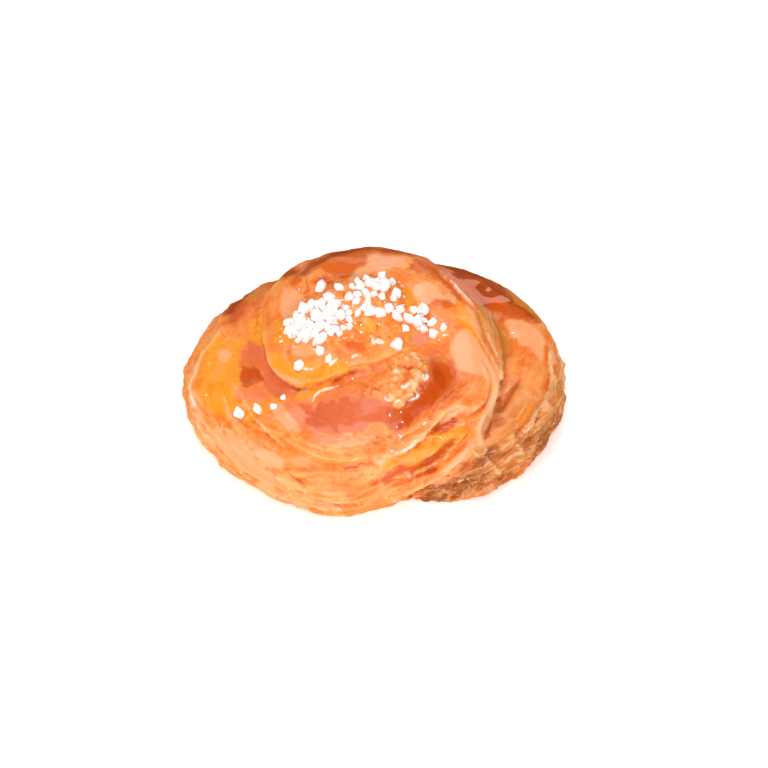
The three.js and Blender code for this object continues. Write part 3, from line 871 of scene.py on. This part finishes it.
def fill_creases(dough):
    filled = np.zeros(len(dough.points))
    for line, wide in FILLED:
        near, away, _ = beside(drawn(line, dough.surface), dough.points, dough.normal, 2 * wide)
        filled[near] = np.maximum(filled[near], np.exp(-(away / wide) ** 2))
    filled = np.clip(filled, 0, 1)[:, None]
    even = spread(dough.mesh, dough.points, 40)
    dough.move(dough.points * (1 - filled) + even * filled)


LEFT = 18  # the left shoulder starts this far left of the axis
SUGARED = dict(y=1, long=20, wide=13)  # the rough middle of the crown
TAIL = dict(start=-75, full=-65, fade=-2, end=18, top=60)  # the tail's open side, in degrees along and round


def find_masks(dough):
    """What the camera sees, and masks from 0 to 1 of the parts of the dough that differ."""
    x, y, _ = dough.points.T
    dough.spots = pixels(dough.points)
    clear = shown(dough.points, dough.normal, dough.surface).astype(float)
    dough.clear = smooth(spread(dough.mesh, clear, 12)[:, 0] / 0.8)
    film = np.max([dough.patch(kind) for kind in GLAZED], axis=0)
    dough.film = smooth(0.5 + film / 2)
    dough.torn = smooth(dough.patch("torn") / 1.2)
    dough.side = 1 - smooth((dough.normal[:, 2] - 0.25) / 0.45)
    dough.left = smooth((-x - LEFT) / 8) * dough.on_strip
    sugared = smooth(1.4 - np.hypot(x / SUGARED["long"], (y - SUGARED["y"]) / SUGARED["wide"]))
    dough.grainy = np.maximum(sugared, smooth(dough.patch("grainy") / 1.5))
    dough.bare = (1 - dough.film) * (1 - 0.5 * (1 - dough.side))
    dough.tail = dough.on_strip * smooth((TAIL["top"] - dough.around) / 20)
    dough.tail *= smooth((TAIL["end"] - dough.turn) / (TAIL["end"] - TAIL["fade"]))
    dough.tail *= smooth((dough.turn - TAIL["start"]) / (TAIL["full"] - TAIL["start"]))


def cells(places):
    """Distance from each place to the two nearest of a set of scattered points."""
    return np.array([noise.voronoi(Vector(p), distance_metric="DISTANCE")[0][:2] for p in places])


def lumps(dough):
    """Flakes, blisters and grain: short lumps, some of which lie along the roll."""
    rolled = np.column_stack([dough.along_roll / 7, dough.across_roll / 1.5, dough.number * 3])
    flakes = grain(rolled, 1, 3, 1)
    rise = flakes * (0.05 + 0.28 * dough.side) * (1 - 0.6 * dough.film)
    for where, height, size, seed in (
        ((1 - dough.torn) * (1 - 0.6 * dough.film), 0.14, 5, 2),
        (dough.film, 0.12, 3.6, 22),
        (dough.grainy, 0.22, 1.8, 7),
        (dough.side, 0.08, 1.8, 8),
        (dough.left * (1 - 0.7 * dough.film), 0.3, 2.6, 6),
        (1 - dough.film, 0.12, 3.2, 15),
    ):
        rise += height * where * dough.grain(size, seed)
    dough.layers = smooth(flakes / 0.1) + smooth((flakes - 0.3) / 0.1) - smooth((-0.3 - flakes) / 0.1)
    dough.flakes = flakes
    return rise + 0.22 * dough.side * (1 - dough.film) * dough.layers


def torn_crumb(dough):
    bent = dough.points + 1.2 * np.column_stack([dough.grain(2, seed) for seed in (11, 12, 13)])
    dough.lump = cells(bent / 2.8)[:, 0]
    return dough.torn * (0.8 - 1.7 * dough.lump + 0.5 * dough.grain(1.5, 14))


def open_web(dough):
    """The tail's side: hollows between thin strands that are pulled along the roll."""
    pulled = np.column_stack([dough.along_roll / 8, dough.across_roll / 2.8, dough.number])
    pulled += 0.4 * np.column_stack([dough.grain(5, seed) for seed in (16, 17, 18)])
    near = cells(pulled)
    dough.web = smooth((near[:, 1] - near[:, 0]) / 0.5)
    return -dough.tail * np.clip(dough.web * (0.7 + 0.6 * grain(dough.points, 7, 1, 9)), 0, 1.2)


def carve(dough):
    """Gives the dough its relief: ledges and folds, then strokes, flakes, torn crumb and web."""
    ledges = spread(dough.mesh, relief(dough.turn, dough.around) * dough.on_strip, 1)
    dough.move(dough.points + dough.normal * ledges)
    fill_creases(dough)
    find_masks(dough)
    even = [(line, side, side, (brown, brown)) for line, side, brown in EVEN_STROKES]
    strokes = np.sum([brush(stroke, dough) for stroke in STROKES + even], axis=0)
    # The strokes' browning, which also paints shade into grooves and light onto ridges.
    dough.browned = strokes[1]
    rise = strokes[0] + lumps(dough) + torn_crumb(dough) + open_web(dough)
    dough.move(dough.points + dough.normal * np.clip(rise, *RISE)[:, None])


# What the finish reads: how browned the crust is, with painted shade in its creases, and how far a point is
# inside each kind of patch


# How browned the plain wall is, from 0 to 1, and how much more each place is; the term for creases is
# painted shade and light, darker in the creases and paler on the ridges.
BAKE_AND_SHADE = dict(wall=0.36, top=0.12, behind=0.28, foot=0.12, hollow=0.24, flake=0.06, broad=0.06, tail_foot=0.10)
FOOT_HEIGHT = 7  # millimetres of the wall that are browner, above the base


def browning_and_shade(dough):
    y, z = dough.points[:, 1], dough.points[:, 2]
    calm = spread(dough.mesh, dough.points, 30)
    hollow = np.sum((calm - dough.points) * dough.normal, axis=1)
    top = smooth((dough.normal[:, 2] - 0.3) / 0.5)
    behind = smooth((y - 12) / 25) * (1 - top) + 0.6 * smooth((y - 22) / 12)
    foot = smooth((FOOT_HEIGHT - z) / FOOT_HEIGHT)
    bake_and_shade = BAKE_AND_SHADE["wall"] + BAKE_AND_SHADE["top"] * top + BAKE_AND_SHADE["behind"] * behind + BAKE_AND_SHADE["foot"] * foot + dough.browned
    # Painted shade and light: darker in the creases, paler on the ridges.
    bake_and_shade += BAKE_AND_SHADE["hollow"] * np.clip(hollow, -0.6, 1.2)
    bake_and_shade += BAKE_AND_SHADE["flake"] * dough.flakes + BAKE_AND_SHADE["broad"] * dough.grain(9, 5)
    # On the tail: darker inside the web's sunken cells, painted shade, and darker towards the base.
    bake_and_shade += dough.tail * (0.18 * dough.web - 0.06 + BAKE_AND_SHADE["tail_foot"] * smooth((14 - z) / 12))
    return bake_and_shade + dough.torn * (0.55 * dough.lump - 0.40) - 0.04 * dough.side * dough.layers


def painted(paint, dough):
    """How far each point is inside some painted lines, in millimetres."""
    deepest = np.full(len(dough.points), -DEEPEST)
    for line in paint["lines"]:
        near, away, far = beside(drawn(line, dough.surface), dough.points, dough.normal, 3)
        ragged_edge = 1 + 0.6 * grain(dough.points[near], 1.5, 2, 20)
        wide = paint["wide"] * (0.4 + 0.6 * ends(far, 0.3)) * ragged_edge
        deepest[near] = np.maximum(deepest[near], wide - np.abs(away))
    return deepest


def gloss(dough):
    """How much clear glaze lies on the crust: most on top, least on the tail, in the pools of painted shade
    and behind.
    """
    x, y, z = dough.normal.T
    shaded_pool = smooth(dough.patch("shade") / 2)
    browned_edge = smooth(dough.patch("brown") / 2 + 0.5)
    glaze = 0.25 + 0.75 * smooth((z - 0.1) / 0.4) - 0.5 * dough.tail - 0.6 * shaded_pool - 0.6 * browned_edge
    glaze = np.clip(glaze * (1 - smooth((y - 0.1) / 0.4)) * (1 - 0.35 * dough.left), 0, 1)
    return glaze * (1 - 0.7 * smooth((-0.3 - x) / 0.3)) * (0.7 + 0.3 * dough.film)


def store_finish(dough):
    """Keeps on the mesh what the materials read."""
    webbed = dough.tail * (1 - dough.film) * (0.4 + 0.6 * smooth((dough.turn + 56) / 12))
    finish = dict(bake_and_shade=browning_and_shade(dough), glaze=gloss(dough), webbed=webbed, bare=dough.bare,
                  side=dough.side * dough.bare, crumbly=dough.grainy)
    for name, paint in PAINTED.items():
        finish[name] = painted(paint, dough)
    for kind in OUTLINES:
        if kind not in SHAPED:
            finish[kind] = dough.patch(kind)
    for name, values in finish.items():
        made = dough.mesh.attributes.new(name, "FLOAT", "POINT")
        made.data.foreach_set("value", values.astype(np.float32))
    roll = np.column_stack([dough.along_roll, dough.across_roll, dough.number * 20])
    made = dough.mesh.attributes.new("roll", "FLOAT_VECTOR", "POINT")
    made.data.foreach_set("vector", roll.astype(np.float32).ravel())


# Pearl sugar


def nib(size, draw, form):
    """One nib: a four-sided lump, narrower at one end, with worn edges and its own proportions."""
    bpy.ops.mesh.primitive_cone_add(vertices=4, radius1=0.62 * size, radius2=0.42 * size, depth=0.85 * size)
    piece = bpy.context.object
    turns = [next(draw) * math.pi for _ in range(3)]
    shape = Matrix.Diagonal((1.1 * between_draw((0.8, 1.3), form), 0.85, between_draw((0.7, 1.1), form), 1))
    for axis, angle in zip("XYZ", turns):
        shape = Matrix.Rotation(angle, 4, axis) @ shape
    for corner in piece.data.vertices:
        corner.co *= between_draw((0.78, 1.2), form)
    bpy.ops.object.mode_set(mode="EDIT")
    bpy.ops.mesh.bevel(offset=0.2 * size, segments=3, affect="EDGES")
    bpy.ops.object.mode_set(mode="OBJECT")
    piece.data.transform(shape)
    return piece


def spread_out(draw):
    """Where the nibs lie and how large each is: those that lie apart, then those of the patches."""
    found = list(STRAYS)
    for patch in PATCHES:
        for _ in range(patch["count"]):
            for _ in range(30):
                x, y = scattered(patch, draw)
                if all(math.hypot(x - a, y - b) > patch["apart"] for a, b, _ in found):
                    break
            found.append((x, y, between_draw(NIB, draw)))
    return found


def sugar(dough_tree):
    draw = stream(7)
    form = stream(31)
    made = []
    for x, y, size in spread_out(draw):
        lump = nib(size, draw, form)
        level = top_at(dough_tree, x, y)
        if made:
            on_others = tree_of(made).ray_cast(Vector((x, y, 100)), Vector((0, 0, -1)))[0]
            if on_others:
                level = max(level, min(on_others.z, level + 0.4 * size))
        lump.data.transform(Matrix.Translation((x, y, level + 0.18 * size)))
        made.append(lump)
    return made


def sugar_crumbs(dough_tree):
    """Small crumbs of sugar, sunk in the glaze: those drawn, and more among the nibs."""
    draw = stream(41)
    places = [seen(dough_tree, x, y) for x, y in pairs(CRUMBS)]
    for patch in PATCHES:
        wider = patch | dict(long=1.25 * patch["long"], wide=1.3 * patch["wide"])
        for _ in range(DUST * patch["count"] // 10):
            x, y = scattered(wider, draw)
            places.append(Vector((x, y, top_at(dough_tree, x, y))))
    sizes = [CRUMB] * len(places)
    heap = PATCHES[0] | dict(long=0.85 * PATCHES[0]["long"], wide=0.8 * PATCHES[0]["wide"])
    for _ in range(CHIPS):
        x, y = scattered(heap, draw)
        places.append(Vector((x, y, top_at(dough_tree, x, y) + 0.5)))
        sizes.append(CHIP)
    made = []
    for place, (least, most) in zip(places, sizes):
        size = least + (most - least) * next(draw) ** 2
        crumb = nib(size, draw, draw)
        turn = Matrix.Rotation(next(draw) * math.pi, 4, "Z")
        crumb.data.transform(Matrix.Translation(place) @ turn @ Matrix.Diagonal((1.5, 0.8, 0.8, 1)))
        made.append(crumb)
    return made


def to_metres(piece):
    """Puts a finished piece in its place: from millimetres about the spiral's axis to metres."""
    piece.data.transform(Matrix.Scale(MM, 4) @ Matrix.Translation((*AXIS, 0)))
    piece.data.update()
    only(piece)
    bpy.ops.object.shade_smooth()


# Materials


def material(name):
    made = bpy.data.materials.new(name)
    made.use_nodes = True
    return made, made.node_tree.nodes["Principled BSDF"]


def add(tree, kind, **settings):
    """A node of a material, with its settings, and with its inputs by name or number."""
    node = tree.nodes.new(kind)
    for name, value in settings.items():
        if name == "inputs":
            for key, given in value.items():
                if isinstance(given, bpy.types.NodeSocket):
                    tree.links.new(given, node.inputs[key])
                else:
                    node.inputs[key].default_value = given
        else:
            setattr(node, name, value)
    return node


def math_node(tree, operation, a, b=0.0, c=0.0):
    return add(tree, "ShaderNodeMath", operation=operation, inputs={0: a, 1: b, 2: c}).outputs[0]


def over(tree, value, edge, soft):
    """0 where a value is at an edge, up to 1 a soft step above it, or below it for a negative step."""
    step = math_node(tree, "DIVIDE", math_node(tree, "SUBTRACT", value, edge), soft)
    return add(tree, "ShaderNodeClamp", inputs={0: step}).outputs[0]


def ramp(tree, value, stops, interpolation="LINEAR"):
    node = add(tree, "ShaderNodeValToRGB", inputs={0: value})
    node.color_ramp.interpolation = interpolation
    while len(node.color_ramp.elements) < len(stops):
        node.color_ramp.elements.new(0.5)
    for element, (place, colour) in zip(node.color_ramp.elements, stops):
        element.position = place
        element.color = (*colour, 1)
    return node.outputs["Color"]


def attribute(tree, name, output="Fac"):
    return add(tree, "ShaderNodeAttribute", attribute_name=name).outputs[output]


def stretched(tree, vector, scale):
    return add(tree, "ShaderNodeMapping", inputs={"Vector": vector, "Scale": scale}).outputs["Vector"]


def noise_at(tree, vector, scale, detail=3, rough=0.55, warp=0.0):
    node = add(tree, "ShaderNodeTexNoise", inputs={
        "Vector": vector, "Scale": scale, "Detail": detail, "Roughness": rough, "Distortion": warp})
    return node.outputs["Fac"]


def blend(tree, factor, a, b, mode="MIX"):
    node = add(tree, "ShaderNodeMix", data_type="RGBA", blend_type=mode)
    for socket, given in ((node.inputs["Factor"], factor), (node.inputs[6], a), (node.inputs[7], b)):
        if isinstance(given, bpy.types.NodeSocket):
            tree.links.new(given, socket)
        else:
            socket.default_value = given
    return node.outputs[2]


def ragged(tree, kind, place, size, wander, soft):
    """The mask of a kind of patch: size, wander and softness of its ragged edge are in millimetres."""
    rough = math_node(tree, "SUBTRACT", noise_at(tree, place, 1 / (size * MM), 4, 0.6), 0.5)
    depth = math_node(tree, "MULTIPLY_ADD", rough, 4 * wander, attribute(tree, kind))
    mask = math_node(tree, "MULTIPLY_ADD", depth, 1 / soft, 0.5)
    return add(tree, "ShaderNodeClamp", inputs={0: mask}).outputs[0]


def paint_patches(tree, place, crust, patches):
    for kind, size, wander, soft, strength, colour in patches:
        mask = math_node(tree, "MULTIPLY", ragged(tree, kind, place, size, wander, soft), strength)
        crust = blend(tree, mask, crust, (*colour, 1))
    return crust


CRUST = [
    (0.10, (0.92, 0.56, 0.27)),
    (0.30, (0.92, 0.36, 0.10)),
    (0.48, (0.90, 0.24, 0.045)),
    (0.66, (0.74, 0.135, 0.014)),
    (0.84, (0.42, 0.055, 0.006)),
    (1.00, (0.16, 0.022, 0.004)),
]

# Patches over the crust: kind, then size of the edge's lumps, its wander and its softness in millimetres,
# then strength and colour.
GROUND_COLOURS = [
    ("tan", 2, 0.6, 1.5, 0.55, (0.68, 0.24, 0.06)),
    ("yellow", 4, 1.4, 1.2, 0.80, (0.98, 0.34, 0.018)),
    ("shade", 5, 0.6, 2.4, 0.85, (0.62, 0.085, 0.004)),
    # Painted shadow low on the tail and in its recesses.
    ("tail_shadow", 2, 0.8, 1.6, 0.90, (0.34, 0.075, 0.010)),
    # Paler crust on the bulges and ridges, lightened further as a painted highlight.
    ("cream", 3, 1.2, 0.8, 0.45, (1.0, 0.56, 0.30)),
]
PATCH_COLOURS = [
    ("window", 4, 0.3, 0.5, 0.80, (0.86, 0.22, 0.008)),
    ("rust", 1.5, 0.5, 1.0, 0.60, (0.50, 0.09, 0.012)),
    ("brown", 3, 0.6, 1.6, 0.90, (0.36, 0.05, 0.004)),
    # Paler crust, with painted reflections on the glaze of the tops and flats.
    ("pale", 3, 0.7, 0.8, 0.65, (0.99, 0.45, 0.225)),
    # Pale lips along the ridges, painted lighter where they catch the light.
    ("lip", 2.5, 0.25, 0.9, 0.40, (0.96, 0.38, 0.06)),
    # Painted pink reflection on the glaze.
    ("pink_sheen", 2.5, 1.1, 0.8, 0.70, (0.94, 0.21, 0.075)),
    # The darkest red-orange of the pools and grooves, with their shade painted in.
    ("deep", 2.5, 0.8, 0.8, 0.80, (0.56, 0.062, 0.004)),
    ("russet", 2.5, 0.8, 0.8, 0.80, (0.70, 0.105, 0.005)),
    ("amber", 3, 0.8, 1.2, 0.80, (0.68, 0.23, 0.03)),
    # Red-brown crust with a painted pink reflection on its glaze.
    ("stain_and_sheen", 2.5, 1.3, 0.5, 0.75, (0.70, 0.12, 0.05)),
    # Sheen and gleam are painted reflections of the softbox on the glaze.
    ("sheen", 5, 0.45, 0.3, 0.75, (0.80, 0.17, 0.07)),
    ("gleam", 4, 0.45, 0.3, 0.80, (0.83, 0.27, 0.17)),
    # Pale rims where a sheet of dough ends, with a painted highlight along them.
    ("rim", 2, 0.12, 0.4, 0.50, (0.98, 0.58, 0.36)),
    ("crack", 1.0, 0.2, 0.3, 0.60, (0.64, 0.08, 0.006)),
    # Painted glints where the wet glaze catches the light.
    ("painted_glint", 1.0, 0.25, 0.3, 0.85, (0.92, 0.82, 0.75)),
]

# Mottling: pattern, where, the value at its edge, the step to full strength, strength and colour.
MOTTLING = [
    ("patch", "bare", 0.55, 0.02, 0.50, (0.98, 0.44, 0.16)),
    ("patch", "bare", 0.43, -0.03, 0.45, (0.80, 0.15, 0.015)),
    ("flake", "side", 0.54, 0.03, 0.35, (0.98, 0.50, 0.24)),
    ("flake", "side", 0.42, -0.03, 0.35, (0.84, 0.19, 0.04)),
    ("spot", "bare", 0.62, 0.02, 0.25, (1.0, 0.60, 0.34)),
    ("spot", "bare", 0.34, -0.02, 0.35, (0.60, 0.09, 0.01)),
    # Pale flecks on the walls: painted glints of small flakes.
    ("spot", "side", 0.67, 0.02, 0.60, (1.0, 0.74, 0.54)),
    ("spot", "crumbly", 0.57, 0.03, 0.45, (0.98, 0.44, 0.14)),
    ("spot", "crumbly", 0.42, -0.03, 0.60, (0.66, 0.10, 0.010)),
]


def baked_crust(tree, place, streaks):
    """The crust by how browned it is and its painted shade, from pale to dark, broken up by streaks and
    blotches.
    """
    level = attribute(tree, "bake_and_shade")
    blotches = noise_at(tree, place, 260, 4, 0.6, 0.4)
    broad = noise_at(tree, place, 70, 2)
    for pattern, strength in ((streaks, 0.30), (blotches, 0.30), (broad, 0.20)):
        level = math_node(tree, "MULTIPLY_ADD", math_node(tree, "SUBTRACT", pattern, 0.5), strength, level)
    return ramp(tree, level, CRUST)


def mottled(tree, place, rolled, crust):
    patterns = {
        "patch": noise_at(tree, place, 230, 4, 0.55, 0.6),
        "flake": noise_at(tree, stretched(tree, rolled, (0.22, 0.85, 1)), 1.0, 4, 0.6),
        "spot": noise_at(tree, place, 560, 3, 0.55, 0.4),
    }
    for pattern, where, edge, soft, strength, colour in MOTTLING:
        amount = math_node(tree, "MULTIPLY", attribute(tree, where), strength)
        mask = math_node(tree, "MULTIPLY", over(tree, patterns[pattern], edge, soft), amount)
        crust = blend(tree, mask, crust, (*colour, 1))
    return crust


def web_masks(tree, rolled):
    """The strands of the tail's web and the pockets between them, painted dark as their shade."""
    pattern = noise_at(tree, stretched(tree, rolled, (0.10, 0.36, 1)), 1.0, 4, 0.6, 0.8)
    away = math_node(tree, "ABSOLUTE", math_node(tree, "SUBTRACT", pattern, 0.5))
    webbed = attribute(tree, "webbed")
    strand = math_node(tree, "MULTIPLY", webbed, over(tree, away, 0.018, -0.012))
    pocket_shade = math_node(tree, "MULTIPLY", webbed, over(tree, away, 0.05, 0.03))
    return strand, pocket_shade


def set_inputs(shader, values):
    for name, value in values.items():
        shader.inputs[name].default_value = value


def dough_material():
    finish, shader = material("glazed_dough")
    tree = finish.node_tree
    place = add(tree, "ShaderNodeTexCoord").outputs["Object"]
    rolled = attribute(tree, "roll", "Vector")
    streaks = noise_at(tree, stretched(tree, rolled, (0.09, 1.3, 1)), 1.0, 4, 0.6)
    strand, pocket_shade = web_masks(tree, rolled)
    crust = baked_crust(tree, place, streaks)
    crust = paint_patches(tree, place, crust, GROUND_COLOURS)
    crust = mottled(tree, place, rolled, crust)
    crust = paint_patches(tree, place, crust, PATCH_COLOURS)
    crust = blend(tree, math_node(tree, "MULTIPLY", strand, 0.55), crust, (0.98, 0.60, 0.33, 1))
    # Painted shade in the pockets of the web.
    crust = blend(tree, math_node(tree, "MULTIPLY", pocket_shade, 0.45), crust, (0.44, 0.12, 0.02, 1))
    tree.links.new(crust, shader.inputs["Base Color"])
    tree.links.new(attribute(tree, "glaze"), shader.inputs["Coat Weight"])
    height = math_node(tree, "MULTIPLY_ADD", streaks, 0.6, noise_at(tree, place, 650, 4, 0.55))
    height = math_node(tree, "MULTIPLY_ADD", pocket_shade, -0.7, math_node(tree, "ADD", height, strand))
    bump = add(tree, "ShaderNodeBump", inputs={"Height": height, "Strength": 0.45, "Distance": 0.0006})
    tree.links.new(bump.outputs["Normal"], shader.inputs["Normal"])
    set_inputs(shader, {
        "Roughness": 0.5, "Specular IOR Level": 0.0, "Coat Roughness": 0.15, "Coat IOR": 1.45})
    return finish


def sugar_material():
    finish, shader = material("pearl_sugar_white")
    set_inputs(shader, {
        "Base Color": (0.97, 0.92, 0.90, 1), "Roughness": 0.35,
        # A faint warm glow of painted light, standing in for light passing through the sugar.
        "Emission Color": (1.0, 0.78, 0.70, 1), "Emission Strength": 0.07,
        "Subsurface Weight": 0.6, "Subsurface Radius": (1, 0.7, 0.6), "Subsurface Scale": 0.0015})
    return finish


def hand_in(piece, finish):
    piece.data.materials.clear()
    piece.data.materials.append(finish)
    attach(piece, "root")
    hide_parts("ensaimada")


# Floor, light and camera

LIGHTS = [  # name, place, size and power in watts
    ("overhead", (0, 0.1, 0.75), (0.6, 0.5), 2.2),
    ("back", (-0.1, 0.8, 0.5), (0.8, 0.3), 0.8),
    ("front", (-0.25, -0.85, 0.8), (1.2, 0.9), 10.8),
    ("right", (0.8, -0.5, 0.45), (0.5, 0.5), 2.0),
]


def pale_floor():
    bpy.ops.mesh.primitive_plane_add(size=6)
    floor = bpy.context.object
    floor.name = "floor"
    finish, shader = material("pale_floor")
    set_inputs(shader, {"Base Color": (0.93, 0.93, 0.93, 1), "Roughness": 0.7,
                        "Emission Color": (1, 1, 1, 1), "Emission Strength": 0.35})
    floor.data.materials.append(finish)
    return floor


def studio():
    sky = bpy.data.worlds.new("studio")
    bpy.context.scene.world = sky
    sky.use_nodes = True
    set_inputs(sky.node_tree.nodes["Background"], {"Color": (1, 1, 1, 1), "Strength": 0.2})
    for name, place, size, power in LIGHTS:
        softbox(name, place, size, power)


def softbox(name, place, size, power, at=(0, 0, 0.02)):
    light = bpy.data.objects.new(name, bpy.data.lights.new(name, "AREA"))
    bpy.context.collection.objects.link(light)
    light.data.shape = "RECTANGLE"
    light.data.size, light.data.size_y = size
    light.data.energy = power
    light.location = place
    light.rotation_euler = (Vector(at) - Vector(place)).to_track_quat("-Z", "Y").to_euler()
    return light


def aim_camera():
    start, forward, _, _ = eye()
    camera = bpy.data.objects.new("camera", bpy.data.cameras.new("camera"))
    bpy.context.collection.objects.link(camera)
    camera.location = (start + Vector((*AXIS, 0))) * MM
    camera.rotation_euler = forward.to_track_quat("-Z", "Y").to_euler()
    camera.data.lens = LENS
    camera.data.sensor_width = SENSOR
    camera.data.clip_start = 0.01
    bpy.context.scene.camera = camera
    bpy.context.scene.view_settings.view_transform = "Standard"


bun, found = plain_dough()
dough = Dough(bun, found)
carve(dough)
store_finish(dough)
dough_tree = tree_of([bun])
nibs = join(sugar(dough_tree) + sugar_crumbs(dough_tree))
nibs.name = "pearl_sugar"
to_metres(bun)
to_metres(nibs)
only(nibs)
bpy.ops.object.shade_smooth_by_angle(angle=math.radians(50))
hand_in(bun, dough_material())
hand_in(nibs, sugar_material())
pale_floor()
studio()
aim_camera()
